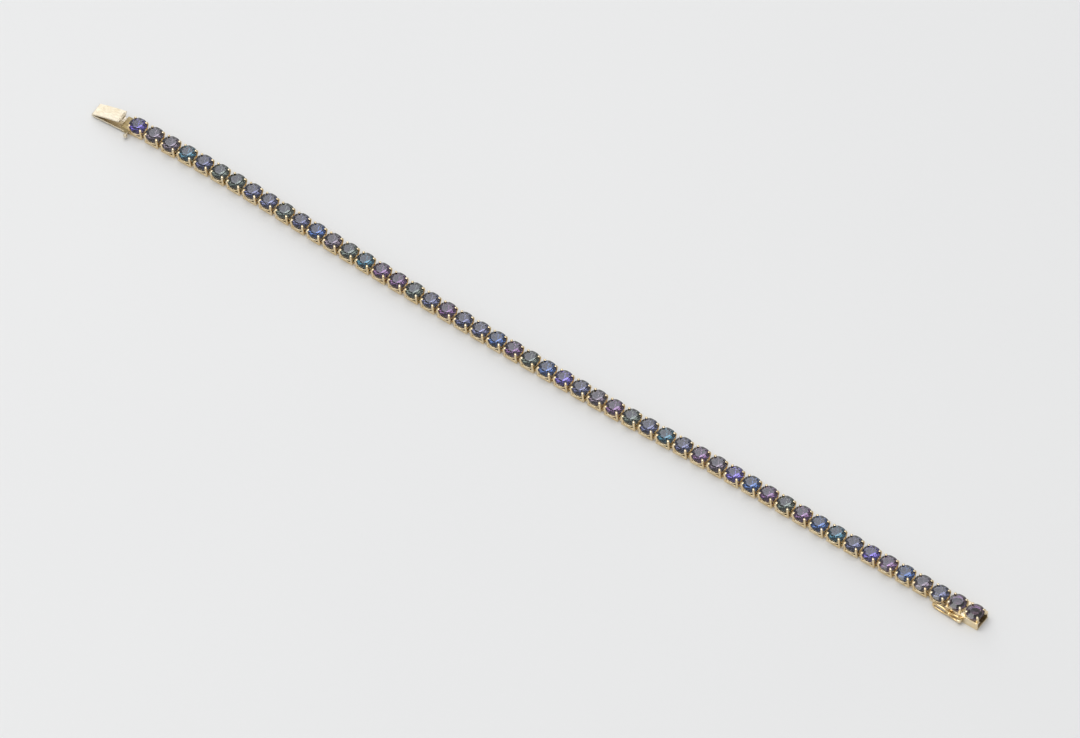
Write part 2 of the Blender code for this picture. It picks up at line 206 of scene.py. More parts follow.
def pale_card():
    material, nodes, links, shader, place = new_material("pale_card")
    cloud = noise(nodes, links, place, CLOUD_SCALE, 4)
    links.new(
        mixed(nodes, links, cloud, FLOOR_COLOUR, FLOOR_COLOUR_SHADED),
        shader.inputs["Base Color"],
    )
    shader.inputs["Roughness"].default_value = FLOOR_ROUGHNESS
    raised(nodes, links, shader, noise(nodes, links, place, GRAIN_SCALE, 3), GRAIN_DEPTH)
    return material


bpy.ops.object.select_all(action="DESELECT")
bpy.ops.mesh.primitive_plane_add(size=FLOOR_SIZE, location=(0, 0, 0))
floor = bpy.context.object
floor.name = "floor"
floor.data.materials.append(pale_card())


# The studio light: a soft panel overhead, a small one high on the far side that shows in the
# stones' tables, a low white one beyond the tongue, and a pale room.
KEY_PLACE = Vector((-0.18, -0.16, 1.15))
KEY_SIZE = 1.0
KEY_POWER = 7.8
SHEEN_PLACE = Vector((-0.45, 0.63, 1.05))
SHEEN_SIZE = 0.24
SHEEN_POWER = 0.40
SHEEN_COLOUR = (0.86, 0.87, 1.0)
WALL_PLACE = Vector((-0.95, 0.75, 0.45))
WALL_SIZE = 0.9
WALL_POWER = 2.4
ROOM_COLOUR = (0.97, 0.98, 1.0, 1)
ROOM_STRENGTH = 0.53


def soft_panel(name, place, size, power, colour=(1, 1, 1)):
    bpy.ops.object.light_add(type="AREA", location=place)
    panel = bpy.context.object
    panel.name = name
    panel.rotation_euler = place.to_track_quat("Z", "Y").to_euler()
    panel.data.size = size
    panel.data.energy = power
    panel.data.color = colour


soft_panel("key_panel", KEY_PLACE, KEY_SIZE, KEY_POWER)
soft_panel("sheen_panel", SHEEN_PLACE, SHEEN_SIZE, SHEEN_POWER, SHEEN_COLOUR)
soft_panel("wall_panel", WALL_PLACE, WALL_SIZE, WALL_POWER)
world = bpy.context.scene.world or bpy.data.worlds.new("room")
bpy.context.scene.world = world
world.use_nodes = True
world.node_tree.nodes["Background"].inputs["Color"].default_value = ROOM_COLOUR
world.node_tree.nodes["Background"].inputs["Strength"].default_value = ROOM_STRENGTH
bpy.context.scene.view_settings.view_transform = "Standard"


# The stones: round natural sapphires in mixed tints, each ground from a blank, the crown first.
# A cut counts points up to 0.1 mm from its plane as on it. So the star and girdle facets are lost,
# and the two stones on the box have no underside and are open there.
STONE_RADIUS = 0.0016
TABLE_RADIUS = 0.0009
GIRDLE_LEVEL = 0.00208
GIRDLE_HALF = 0.00003
PAVILION_ANGLE = math.radians(40)
CLASP_PAVILION_ANGLE = math.radians(24)
LOWER_GIRDLE_EXTRA = math.radians(2.5)
UPPER_GIRDLE_EXTRA = math.radians(5)
STAR_ANGLE = math.radians(20)
MAIN_FACETS = 8
GIRDLE_SIDES = 32
MERGE_DISTANCE = 0.000002
CLASP_STONE_RAISE = 0.0002


def ground_facets(count, first_turn, angle, radius, level):
    """Grinds a ring of facets on the blank. Each leans by angle, and is at radius at that level."""
    for k in range(count):
        turn = first_turn + 2 * math.pi * k / count
        outward = Vector((math.cos(turn), math.sin(turn), 0))
        point = outward * radius
        point.z = level
        normal = outward * math.sin(abs(angle))
        normal.z = math.copysign(math.cos(angle), angle)
        bpy.ops.mesh.select_all(action="SELECT")
        bpy.ops.mesh.bisect(plane_co=point, plane_no=normal, use_fill=True, clear_outer=True)


def brilliant(name, pavilion_angle):
    """One round stone on the Z axis, at the height of its seat."""
    top = GIRDLE_LEVEL + GIRDLE_HALF
    bottom = GIRDLE_LEVEL - GIRDLE_HALF
    blank_bottom = bottom - STONE_RADIUS
    bpy.ops.object.select_all(action="DESELECT")
    bpy.ops.mesh.primitive_cylinder_add(
        vertices=GIRDLE_SIDES,
        radius=STONE_RADIUS,
        depth=STONE_TOP - blank_bottom,
        location=(0, 0, (STONE_TOP + blank_bottom) / 2),
    )
    stone = bpy.context.object
    stone.name = name
    bpy.ops.object.transform_apply()
    bpy.ops.object.mode_set(mode="EDIT")
    between_mains = math.pi / MAIN_FACETS
    star_radius = TABLE_RADIUS * math.cos(between_mains)
    kite_angle = math.atan2(STONE_TOP - top, STONE_RADIUS - TABLE_RADIUS)
    upper_angle = kite_angle + UPPER_GIRDLE_EXTRA
    lower_angle = pavilion_angle + LOWER_GIRDLE_EXTRA
    ground_facets(MAIN_FACETS, 0, kite_angle, STONE_RADIUS, top)
    ground_facets(2 * MAIN_FACETS, between_mains / 2, upper_angle, STONE_RADIUS, top)
    ground_facets(MAIN_FACETS, between_mains, STAR_ANGLE, star_radius, STONE_TOP)
    ground_facets(MAIN_FACETS, 0, -pavilion_angle, STONE_RADIUS, bottom)
    ground_facets(2 * MAIN_FACETS, between_mains / 2, -lower_angle, STONE_RADIUS, bottom)
    bpy.ops.mesh.select_all(action="SELECT")
    bpy.ops.mesh.remove_doubles(threshold=MERGE_DISTANCE)
    bpy.ops.mesh.normals_make_consistent(inside=False)
    bpy.ops.object.mode_set(mode="OBJECT")
    return stone


VIOLET = (0.20, 0.16, 0.54)
BLUE = (0.10, 0.17, 0.40)
TEAL = (0.09, 0.22, 0.30)
PLUM = (0.23, 0.13, 0.27)
MAUVE = (0.21, 0.17, 0.22)
GREEN_GREY = (0.16, 0.195, 0.17)
SLATE = (0.15, 0.16, 0.28)
LILAC = (0.21, 0.15, 0.42)
TINTS = {
    "V": VIOLET,
    "B": BLUE,
    "T": TEAL,
    "P": PLUM,
    "M": MAUVE,
    "G": GREEN_GREY,
    "S": SLATE,
    "L": LILAC,
}

# Scale of each stone's colour on the table, which faces up, and on the other facets: the table is
# painted lighter as painted light, and the other facets darker as painted shade.
TABLE_PAINTED_LIGHT = 1.9
RIM_PAINTED_SHADE = 0.28
FACES_UP = 0.98

# Tint of each stone, from the tongue to the box.
TINT_ORDER = "VMMTSGGSSGSBMGTPPGSPSSBPGBVSMPGSTSPMVBPGPBTSVPBMSLL"

WHOLE = (0, 1)
ZONE_SCALE = 420
ZONE_STRETCH = (1, 0.25, 1)
ZONE_SPAN = (0.38, 0.62)
ZONE_VALUE = 0.72
ZONE_SATURATION = 1.15
POLISH_SCALE = 3000
POLISH_SPAN = (0.3, 0.7)
POLISH_ROUGHNESS = (0.01, 0.06)
SAPPHIRE_IOR = 1.77


def spread(nodes, links, value, span, new_span):
    """The value, with its run over span drawn out to new_span."""
    reach = nodes.new("ShaderNodeMapRange")
    for end, was, becomes in zip(("Min", "Max"), span, new_span):
        reach.inputs["From " + end].default_value = was
        reach.inputs["To " + end].default_value = becomes
    links.new(value, reach.inputs["Value"])
    return reach.outputs["Result"]


def sapphire():
    """Clear, tinted stone whose colour lies in faint straight zones, as it does in the crystal."""
    material, nodes, links, shader, place = new_material("sapphire")
    tint_with_facet_shade = nodes.new("ShaderNodeAttribute")
    tint_with_facet_shade.attribute_name = "tint_with_facet_shade"
    deep = nodes.new("ShaderNodeHueSaturation")
    deep.inputs["Value"].default_value = ZONE_VALUE
    deep.inputs["Saturation"].default_value = ZONE_SATURATION
    links.new(tint_with_facet_shade.outputs["Color"], deep.inputs["Color"])
    zones = noise(nodes, links, place, ZONE_SCALE, 2, ZONE_STRETCH)
    zoned = spread(nodes, links, zones, ZONE_SPAN, WHOLE)
    links.new(
        mixed(nodes, links, zoned, tint_with_facet_shade.outputs["Color"], deep.outputs["Color"]),
        shader.inputs["Base Color"],
    )
    polish = noise(nodes, links, place, POLISH_SCALE, 3)
    links.new(
        spread(nodes, links, polish, POLISH_SPAN, POLISH_ROUGHNESS), shader.inputs["Roughness"]
    )
    shader.inputs["Transmission Weight"].default_value = 1
    shader.inputs["IOR"].default_value = SAPPHIRE_IOR
    return material


def copies(pattern, stands):
    """A copy of the pattern on each stand, every one with its own mesh. The pattern is used up."""
    made = []
    for stand in stands:
        copy = pattern.copy()
        copy.data = pattern.data.copy()
        copy.data.transform(stand)
        bpy.context.scene.collection.objects.link(copy)
        made.append(copy)
    bpy.data.objects.remove(pattern)
    return made


def joined(name, parts):
    """The parts as one mesh piece of that name, at the origin."""
    bpy.ops.object.select_all(action="DESELECT")
    for part in parts:
        part.select_set(True)
    bpy.context.view_layer.objects.active = parts[0]
    bpy.ops.object.join()
    piece = bpy.context.object
    bpy.ops.object.transform_apply()
    piece.name = name
    piece.data.name = name
    return piece


def tinted_with_facet_shade(stones, letters):
    """Each stone's colour on its facets, with painted light and shade: pale on the table, as
    painted light, and deep on the others, as painted shade.
    """
    for stone, letter in zip(stones, letters):
        layer = stone.data.attributes.new("tint_with_facet_shade", "FLOAT_COLOR", "FACE")
        for polygon, value in zip(stone.data.polygons, layer.data):
            # The table is painted lighter and the other facets darker, as painted light and shade.
            facet_light_and_shade = TABLE_PAINTED_LIGHT if polygon.normal.z > FACES_UP else RIM_PAINTED_SHADE
            value.color = (*(channel * facet_light_and_shade for channel in TINTS[letter]), 1)


clasp_stands = [
    box_stand @ Matrix.Translation((k * PITCH, 0, CLASP_STONE_RAISE)) for k in range(CLASP_STONES)
]
row_stones = copies(brilliant("cut_pattern", PAVILION_ANGLE), [tongue_stand, *link_stands])
clasp_stones = copies(brilliant("cut_pattern", CLASP_PAVILION_ANGLE), clasp_stands)
tinted_with_facet_shade(row_stones, TINT_ORDER)
tinted_with_facet_shade(clasp_stones, TINT_ORDER[PLAIN_LINKS:])
sapphire_material = sapphire()
stone_row = joined("row_of_sapphires", row_stones)
clasp_pair = joined("clasp_sapphires", clasp_stones)
for piece in (stone_row, clasp_pair):
    piece.data.materials.append(sapphire_material)
    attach(piece, "bracelet")
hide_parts("clasp_stone_1", "clasp_stone_2")


# The baskets: cast yellow gold, each an open foot and a round gallery rail that carry four claws.
# The claws rise beside the stone and are pressed down over its crown. They are polished.
FOOT_LENGTH = 0.00284
FOOT_WIDTH = 0.0022
FOOT_BAR = 0.0005
FOOT_HEIGHT = 0.00055
FOOT_EDGE = 0.00012
CLAW_SIDES = 10

# Along the row, across it, level and radius of a claw's middle line, from its root to its tip.
CLAW_STOPS = (
    (0.00117, 0.00086, 0.00030, 0.00025),
    (0.00117, 0.00092, 0.00090, 0.00023),
    (0.00118, 0.00101, 0.00150, 0.00023),
    (0.00122, 0.00110, 0.00195, 0.00023),
    (0.00123, 0.00111, 0.00218, 0.00023),
    (0.00119, 0.00107, 0.00234, 0.00023),
    (0.00112, 0.00101, 0.00246, 0.00021),
    (0.00107, 0.00096, 0.00251, 0.00013),
)

GALLERY_RADIUS = 0.00125
GALLERY_LEVEL = 0.00112
GALLERY_WIRE = 0.00017
GALLERY_SEGMENTS = 40
GALLERY_SIDES = 8
KNUCKLE_RADIUS = 0.00040
KNUCKLE_WIDTH = 0.001
KNUCKLE_LEVEL = 0.00044
PIN_RADIUS = 0.00016
PIN_REACH = 0.00078
ROD_SIDES = 16
RIM_SHARE = 0.2
SAME_WAY = 0.9
SMOOTH_ANGLE = math.radians(50)
FLAT_FACE_WEIGHT = 80

GOLD = (0.84, 0.66, 0.38, 1)
GOLD_PALE = (0.92, 0.77, 0.52, 1)
MOTTLE_SCALE = 700
MOTTLE_SPAN = (0.35, 0.65)
HAIRLINE_SCALE = 5000
HAIRLINE_STRETCH = (0.15, 1, 1)
HAIRLINE_SPAN = (0.3, 0.7)
HAIRLINE_DEPTH = 0.000004
SMOOTHEST = 0.6
ROUGHEST = 1.6


def polished_gold(name, deep, pale, roughness):
    """Yellow gold with the fine hairlines and soft mottling that polishing and wear leave."""
    material, nodes, links, shader, place = new_material(name)
    mottle = noise(nodes, links, place, MOTTLE_SCALE, 3)
    links.new(
        mixed(nodes, links, spread(nodes, links, mottle, MOTTLE_SPAN, WHOLE), deep, pale),
        shader.inputs["Base Color"],
    )
    hairlines = noise(nodes, links, place, HAIRLINE_SCALE, 4, HAIRLINE_STRETCH)
    shine = (roughness * SMOOTHEST, roughness * ROUGHEST)
    links.new(spread(nodes, links, hairlines, HAIRLINE_SPAN, shine), shader.inputs["Roughness"])
    shader.inputs["Metallic"].default_value = 1
    raised(nodes, links, shader, hairlines, HAIRLINE_DEPTH)
    return material


def claw(stops, side_x, side_y):
    """A claw that rises from its root and hooks over the crown, drawn up disc by disc."""

    def spot(stop):
        return Vector((stop[0] * side_x, stop[1] * side_y, stop[2]))

    bpy.ops.object.select_all(action="DESELECT")
    bpy.ops.mesh.primitive_circle_add(
        vertices=CLAW_SIDES, radius=stops[0][3], fill_type="NGON", location=spot(stops[0])
    )
    made = bpy.context.object
    made.name = "claw"
    bpy.ops.object.transform_apply()
    bpy.ops.object.mode_set(mode="EDIT")
    bpy.ops.mesh.select_all(action="SELECT")
    for last, stop in zip(stops, stops[1:]):
        bpy.ops.mesh.extrude_region_move(TRANSFORM_OT_translate={"value": spot(stop) - spot(last)})
        bpy.ops.transform.resize(value=(stop[3] / last[3],) * 3, center_override=spot(stop))
    bpy.ops.mesh.select_all(action="SELECT")
    bpy.ops.mesh.normals_make_consistent(inside=False)
    bpy.ops.object.mode_set(mode="OBJECT")
    return made


def four_claws(stops):
    return [claw(stops, side_x, side_y) for side_x in (1, -1) for side_y in (1, -1)]


def bevelled(item, width, segments):
    """Rounds the item's edges and applies the modifier."""
    modifier = item.modifiers.new("rounding", "BEVEL")
    modifier.width = width
    modifier.segments = segments
    modifier.limit_method = "ANGLE"
    bpy.context.view_layer.objects.active = item
    bpy.ops.object.modifier_apply(modifier=modifier.name)
    return item


def block(name, low, high):
    """A plain blank between two corners, for shaping."""
    low, high = Vector(low), Vector(high)
    bpy.ops.object.select_all(action="DESELECT")
    bpy.ops.mesh.primitive_cube_add(size=1, location=(low + high) / 2)
    made = bpy.context.object
    made.name = name
    made.scale = high - low
    bpy.ops.object.transform_apply()
    return made


def faces_towards(item, *directions):
    """Selects only the faces that look in those directions, in edit mode."""
    bpy.ops.object.mode_set(mode="EDIT")
    bpy.ops.mesh.select_mode(type="FACE")
    bpy.ops.mesh.select_all(action="DESELECT")
    bpy.ops.object.mode_set(mode="OBJECT")
    for polygon in item.data.polygons:
        polygon.select = any(polygon.normal.dot(Vector(way)) > SAME_WAY for way in directions)
    bpy.ops.object.mode_set(mode="EDIT")


def open_foot():
    """The foot: a bar frame whose window is inset from both faces and bridged through."""
    foot = block(
        "foot",
        (-FOOT_LENGTH / 2, -FOOT_WIDTH / 2, 0),
        (FOOT_LENGTH / 2, FOOT_WIDTH / 2, FOOT_HEIGHT),
    )
    faces_towards(foot, (0, 0, 1), (0, 0, -1))
    bpy.ops.mesh.inset(thickness=FOOT_BAR, use_individual=True)
    bpy.ops.mesh.bridge_edge_loops()
    bpy.ops.mesh.select_all(action="SELECT")
    bpy.ops.mesh.normals_make_consistent(inside=False)
    bpy.ops.object.mode_set(mode="OBJECT")
    return bevelled(foot, FOOT_EDGE, 3)


def gallery_rail():
    bpy.ops.object.select_all(action="DESELECT")
    bpy.ops.mesh.primitive_torus_add(
        major_radius=GALLERY_RADIUS,
        minor_radius=GALLERY_WIRE,
        major_segments=GALLERY_SEGMENTS,
        minor_segments=GALLERY_SIDES,
        location=(0, 0, GALLERY_LEVEL),
    )
    rail = bpy.context.object
    bpy.ops.object.transform_apply()
    return rail


def rod(name, radius, start, end):
    """A round rod between two points, with its rims rounded."""
    start, end = Vector(start), Vector(end)
    along = end - start
    bpy.ops.object.select_all(action="DESELECT")
    bpy.ops.mesh.primitive_cylinder_add(
        vertices=ROD_SIDES,
        radius=radius,
        depth=along.length,
        location=(start + end) / 2,
        rotation=along.to_track_quat("Z", "Y").to_euler(),
    )
    made = bpy.context.object
    made.name = name
    bpy.ops.object.transform_apply()
    return bevelled(made, radius * RIM_SHARE, 2)


def smooth(item):
    """Rounded edges shade smoothly, and the wide flat faces beside them stay flat."""
    bpy.ops.object.select_all(action="DESELECT")
    item.select_set(True)
    bpy.context.view_layer.objects.active = item
    bpy.ops.object.shade_smooth_by_angle(angle=SMOOTH_ANGLE)
    weighted = item.modifiers.new("flat_faces", "WEIGHTED_NORMAL")
    weighted.keep_sharp = True
    weighted.weight = FLAT_FACE_WEIGHT
    bpy.ops.object.modifier_apply(modifier=weighted.name)


def basket():
    """One link without its stone, with the knuckle and pin that join it to the next link."""
    hinge = [
        rod(name, radius, (PITCH / 2, -reach, KNUCKLE_LEVEL), (PITCH / 2, reach, KNUCKLE_LEVEL))
        for name, radius, reach in (
            ("knuckle", KNUCKLE_RADIUS, KNUCKLE_WIDTH / 2),
            ("pin", PIN_RADIUS, PIN_REACH),
        )
    ]
    made = joined("basket_pattern", [open_foot(), gallery_rail(), *hinge, *four_claws(CLAW_STOPS)])
    smooth(made)
    made.data.materials.append(basket_gold)
    return made


def gold_piece(piece, body, *nodes):
    """Gives a finished piece its body and hides the solids that it stands for."""
    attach(piece, body)
    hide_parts(*nodes)


basket_gold = polished_gold("basket_gold", GOLD, GOLD_PALE, roughness=0.12)
baskets = joined("gold_baskets", copies(basket(), link_stands))
gold_piece(baskets, "bracelet", "stone_line_tongue_side", "stone_line_box_side")


# The tongue: a gold strip folded back on itself as a spring, soldered to a block on the first
# basket. A ridged bar on the upper leaf is pressed by the thumb, and a ball post holds the catch.
FOOT_END = FOOT_LENGTH / 2
BLOCK_LENGTH = 0.0013
BLOCK_WIDTH = 0.0026
BLOCK_HEIGHT = 0.0015
BLOCK_EDGE = 0.00018
BLOCK_FRONT = -FOOT_END - BLOCK_LENGTH
STRIP_WIDTH = 0.0027
STRIP_THICKNESS = 0.00026
STRIP_LEVEL = 0.00049
STRIP_EDGE = 0.00006
LEAF_LENGTH = 0.006
LEAF_GAP = 0.00035
LEAF_END_LEVEL = 0.00237
LEAF_BOW = 0.0001
FOLD_RADIUS = 0.00017
FOLD_STEPS = 8
LEAF_STEPS = 14
PRESS_LENGTH = 0.0005
PRESS_WIDTH = 0.0016
PRESS_RISE = 0.0003
RIDGE_RADIUS = 0.00009
RIDGE_SPACING = 0.00016
POST_RADIUS = 0.00018
POST_ROOT = -0.0008
BALL_RADIUS = 0.0004
BALL_FLATTENING = 0.85
POST_LEVEL = 0.00088
POST_PLACE = -(FOOT_LENGTH - FOOT_BAR) / 2
BALL_SIDE = -0.00229
SPRING_GOLD = (0.76, 0.66, 0.49, 1)
SPRING_GOLD_PALE = (0.83, 0.75, 0.60, 1)
# The block's gold comes in dark and pale tones of brushed gold, and it is painted dark as painted
# shade. The box's inside uses it too.
BRUSHED_SHADE = (0.34, 0.26, 0.12, 1)
BRUSHED_SHADE_PALE = (0.52, 0.41, 0.22, 1)
STROKE_SCALE = 3500
STROKE_STRETCH = (0.08, 1, 1)
STROKE_DEPTH = 0.000006
STROKE_COLOUR_SPAN = (0.35, 0.65)
STROKE_SHINE_SPAN = (0.3, 0.7)
BRUSHED_ROUGHNESS = (0.3, 0.5)


def strip_path():
    """The strip's middle line from the block to the fold and back, as (x, z)."""
    fold_x = BLOCK_FRONT - LEAF_LENGTH + FOLD_RADIUS + STRIP_THICKNESS / 2
    path = [(x, STRIP_LEVEL) for x in (BLOCK_FRONT + BLOCK_LENGTH / 2, BLOCK_FRONT, fold_x)]
    for k in range(1, FOLD_STEPS + 1):
        turn = math.pi * k / FOLD_STEPS
        x = fold_x - FOLD_RADIUS * math.sin(turn)
        path.append((x, STRIP_LEVEL + FOLD_RADIUS * (1 - math.cos(turn))))
    start = STRIP_LEVEL + 2 * FOLD_RADIUS
    run = BLOCK_FRONT - LEAF_GAP - fold_x
    rise = LEAF_END_LEVEL - start
    for k in range(1, LEAF_STEPS + 1):
        share = k / LEAF_STEPS
        bow = LEAF_BOW * math.sin(math.pi * share)
        path.append((fold_x + run * share, start + rise * share + bow))
    return path


def folded_strip():
    """An edge as long as the strip is wide, extruded along the strip's path and thickened."""
    path = strip_path()
    bpy.ops.object.select_all(action="DESELECT")
    bpy.ops.mesh.primitive_plane_add(
        size=STRIP_WIDTH, location=(path[0][0] + STRIP_WIDTH / 2, 0, path[0][1])
    )
    strip = bpy.context.object
    bpy.ops.object.transform_apply()
    bpy.ops.object.mode_set(mode="EDIT")
    bpy.ops.mesh.select_mode(type="VERT")
    bpy.ops.mesh.select_all(action="DESELECT")
    bpy.ops.object.mode_set(mode="OBJECT")
    for vertex in strip.data.vertices:
        vertex.select = vertex.co.x > path[0][0] + STRIP_WIDTH / 2
    bpy.ops.object.mode_set(mode="EDIT")
    bpy.ops.mesh.delete(type="VERT")
    bpy.ops.mesh.select_all(action="SELECT")
    for (x0, z0), (x1, z1) in zip(path, path[1:]):
        bpy.ops.mesh.extrude_region_move(TRANSFORM_OT_translate={"value": (x1 - x0, 0, z1 - z0)})
    bpy.ops.mesh.select_all(action="SELECT")
    bpy.ops.mesh.normals_make_consistent(inside=False)
    bpy.ops.object.mode_set(mode="OBJECT")
    wall = strip.modifiers.new("wall", "SOLIDIFY")
    wall.thickness = STRIP_THICKNESS
    wall.offset = 0
    bpy.context.view_layer.objects.active = strip
    bpy.ops.object.modifier_apply(modifier=wall.name)
    bpy.ops.object.mode_set(mode="EDIT")
    bpy.ops.mesh.select_all(action="SELECT")
    bpy.ops.mesh.normals_make_consistent(inside=False)
    bpy.ops.object.mode_set(mode="OBJECT")
    return bevelled(strip, STRIP_EDGE, 2)


def thumb_press():
    """The bar across the end of the upper leaf, with three ridges for the thumb's grip."""
    middle = BLOCK_FRONT - LEAF_GAP
    low = LEAF_END_LEVEL - STRIP_THICKNESS / 2
    high = LEAF_END_LEVEL + PRESS_RISE
    bar = block(
        "press_bar",
        (middle - PRESS_LENGTH / 2, -PRESS_WIDTH / 2, low),
        (middle + PRESS_LENGTH / 2, PRESS_WIDTH / 2, high),
    )
    ridges = []
    reach = PRESS_WIDTH / 2 - STRIP_EDGE
    for place in (-1, 0, 1):
        x = middle + place * RIDGE_SPACING
        ridges.append(rod("ridge", RIDGE_RADIUS, (x, -reach, high), (x, reach, high)))
    return [bevelled(bar, STRIP_EDGE, 3), *ridges]


def ball_post():
    """The post on the foot's side, with the slightly flattened ball that the catch snaps over."""
    end = (POST_PLACE, BALL_SIDE, POST_LEVEL)
    shank = rod("shank", POST_RADIUS, (POST_PLACE, POST_ROOT, POST_LEVEL), end)
    bpy.ops.object.select_all(action="DESELECT")
    bpy.ops.mesh.primitive_uv_sphere_add(
        segments=24, ring_count=14, radius=BALL_RADIUS, location=end
    )
    ball = bpy.context.object
    bpy.ops.object.transform_apply()
    bpy.ops.object.mode_set(mode="EDIT")
    bpy.ops.mesh.select_all(action="SELECT")
    bpy.ops.transform.resize(value=(1, BALL_FLATTENING, 1), center_override=end)
    bpy.ops.object.mode_set(mode="OBJECT")
    return [shank, ball]


def brushed_painted_shade_gold():
    """The block's gold, brushed along the row and painted dark as painted shade."""
    material, nodes, links, shader, place = new_material("brushed_painted_shade_gold")
    strokes = noise(nodes, links, place, STROKE_SCALE, 3, STROKE_STRETCH)
    stroked = spread(nodes, links, strokes, STROKE_COLOUR_SPAN, WHOLE)
    shine = spread(nodes, links, strokes, STROKE_SHINE_SPAN, BRUSHED_ROUGHNESS)
    links.new(mixed(nodes, links, stroked, BRUSHED_SHADE, BRUSHED_SHADE_PALE), shader.inputs["Base Color"])
    links.new(shine, shader.inputs["Roughness"])
    shader.inputs["Metallic"].default_value = 1
    raised(nodes, links, shader, strokes, STROKE_DEPTH)
    return material


tongue_block = block(
    "tongue_block",
    (BLOCK_FRONT, -BLOCK_WIDTH / 2, 0),
    (-FOOT_END + FOOT_BAR / 2, BLOCK_WIDTH / 2, BLOCK_HEIGHT),
)
tongue_block = bevelled(tongue_block, BLOCK_EDGE, 3)
# The block is painted dark, as painted shade.
block_painted_shade_gold = brushed_painted_shade_gold()
tongue_block.data.materials.append(block_painted_shade_gold)
springs = [folded_strip(), *thumb_press(), *ball_post()]
spring_gold = polished_gold("spring_gold", SPRING_GOLD, SPRING_GOLD_PALE, roughness=0.3)
for part in springs:
    part.data.materials.append(spring_gold)
tongue = joined("spring_tongue_gold", [basket(), tongue_block, *springs])
tongue.data.transform(tongue_stand)
smooth(tongue)
gold_piece(tongue, "bracelet", "spring_tongue")


# The box clasp: a hollow gold box, open at its mouth, that the tongue springs into. Two seats in
# its lid let light under the last stones, and claws soldered to the lid hold them.
CLASP_GOLD = (0.82, 0.67, 0.43, 1)
CLASP_GOLD_PALE = (0.89, 0.77, 0.55, 1)
BOX_WIDTH = 0.0033
BOX_HEIGHT = 0.00175
BOX_WALL = 0.00028
BOX_END_WALL = 0.0003
BOX_EDGE = 0.00006
BOX_LIP = 0.00015
BOX_START = -FOOT_END
BOX_MOUTH = (CLASP_STONES - 1) * PITCH + FOOT_END + BOX_LIP
SEAT_RADIUS = 0.0009
NOTCH_HALF = 0.0009
NOTCH_DEPTH = 0.0006
BARREL_RADIUS = 0.00048
BARREL_BORE = 0.00028
BARREL_HALF = 0.0003
BARREL_SIDE = -0.00209
BARREL_PLACE = (CLASP_STONES - 1.5) * PITCH
LUG_HALF = 0.00025
LUG_SETBACK = 0.00008
LUG_STEP = 0.00003
LUG_EDGE = 0.00005

# A claw on the lid starts at its own root, and is like a basket's claw from the girdle upwards.
CLASP_CLAW_ROOT = (0.00119, 0.00106, 0.00145, 0.00028)
CLASP_CLAW_STOPS = [
    (x, y, level + CLASP_STONE_RAISE, radius)
    for x, y, level, radius in (CLASP_CLAW_ROOT, *CLAW_STOPS[3:])
]


def cut_away(item, tool):
    """Cuts the tool's shape out of the item and removes the tool."""
    modifier = item.modifiers.new("cut", "BOOLEAN")
    modifier.operation = "DIFFERENCE"
    modifier.object = tool
    modifier.solver = "EXACT"
    bpy.context.view_layer.objects.active = item
    bpy.ops.object.modifier_apply(modifier=modifier.name)
    bpy.data.objects.remove(tool)
    return item


def hollow_box():
    """The box, hollowed from its mouth by an inset and a push inwards, then notched and seated."""
    half = BOX_WIDTH / 2
    shell = block("box_shell", (BOX_START, -half, 0), (BOX_MOUTH, half, BOX_HEIGHT))
    faces_towards(shell, (1, 0, 0))
    bpy.ops.mesh.inset(thickness=BOX_WALL)
    depth = BOX_MOUTH - BOX_START - BOX_END_WALL
    bpy.ops.mesh.extrude_region_move(TRANSFORM_OT_translate={"value": (-depth, 0, 0)})
    bpy.ops.object.mode_set(mode="OBJECT")
    notch = block(
        "notch",
        (BOX_MOUTH - NOTCH_DEPTH, -NOTCH_HALF, BOX_HEIGHT / 2),
        (BOX_MOUTH + BOX_WALL, NOTCH_HALF, BOX_HEIGHT + BOX_WALL),
    )
    shell = cut_away(shell, notch)
    for stone in range(CLASP_STONES):
        x = stone * PITCH
        seat = rod("seat", SEAT_RADIUS, (x, 0, BOX_HEIGHT / 2), (x, 0, 2 * BOX_HEIGHT))
        shell = cut_away(shell, seat)
    return bevelled(shell, BOX_EDGE, 2)


def barrel():
    """The upright tube for the safety catch, on a lug at the box's side."""
    middle = BOX_HEIGHT / 2
    low = Vector((BARREL_PLACE, BARREL_SIDE, middle - BARREL_HALF))
    high = Vector((BARREL_PLACE, BARREL_SIDE, middle + BARREL_HALF))
    reach = Vector((0, 0, BARREL_HALF))
    tube = rod("tube", BARREL_RADIUS, low, high)
    tube = cut_away(tube, rod("bore", BARREL_BORE, low - reach, high + reach))
    lug = block(
        "lug",
        (BARREL_PLACE - LUG_HALF, BARREL_SIDE + BARREL_BORE + LUG_SETBACK, low.z + LUG_STEP),
        (BARREL_PLACE + LUG_HALF, -BOX_WIDTH / 2 + BOX_WALL / 2, high.z - LUG_STEP),
    )
    return [tube, bevelled(lug, LUG_EDGE, 2)]


def painted_shade_inside(shell):
    """The box's outside is polished, and the faces inside it are dull and painted dark, as painted
    shade.
    """
    shell.data.materials.append(clasp_gold)
    shell.data.materials.append(block_painted_shade_gold)
    slack = BOX_WALL / 10
    for polygon in shell.data.polygons:
        centre = polygon.center
        if (
            abs(centre.y) < BOX_WIDTH / 2 - BOX_WALL + slack
            and BOX_WALL - slack < centre.z < BOX_HEIGHT - BOX_WALL + slack
            and centre.x < BOX_MOUTH - slack
        ):
            polygon.material_index = 1


clasp_gold = polished_gold("clasp_gold", CLASP_GOLD, CLASP_GOLD_PALE, roughness=0.2)
shell = hollow_box()
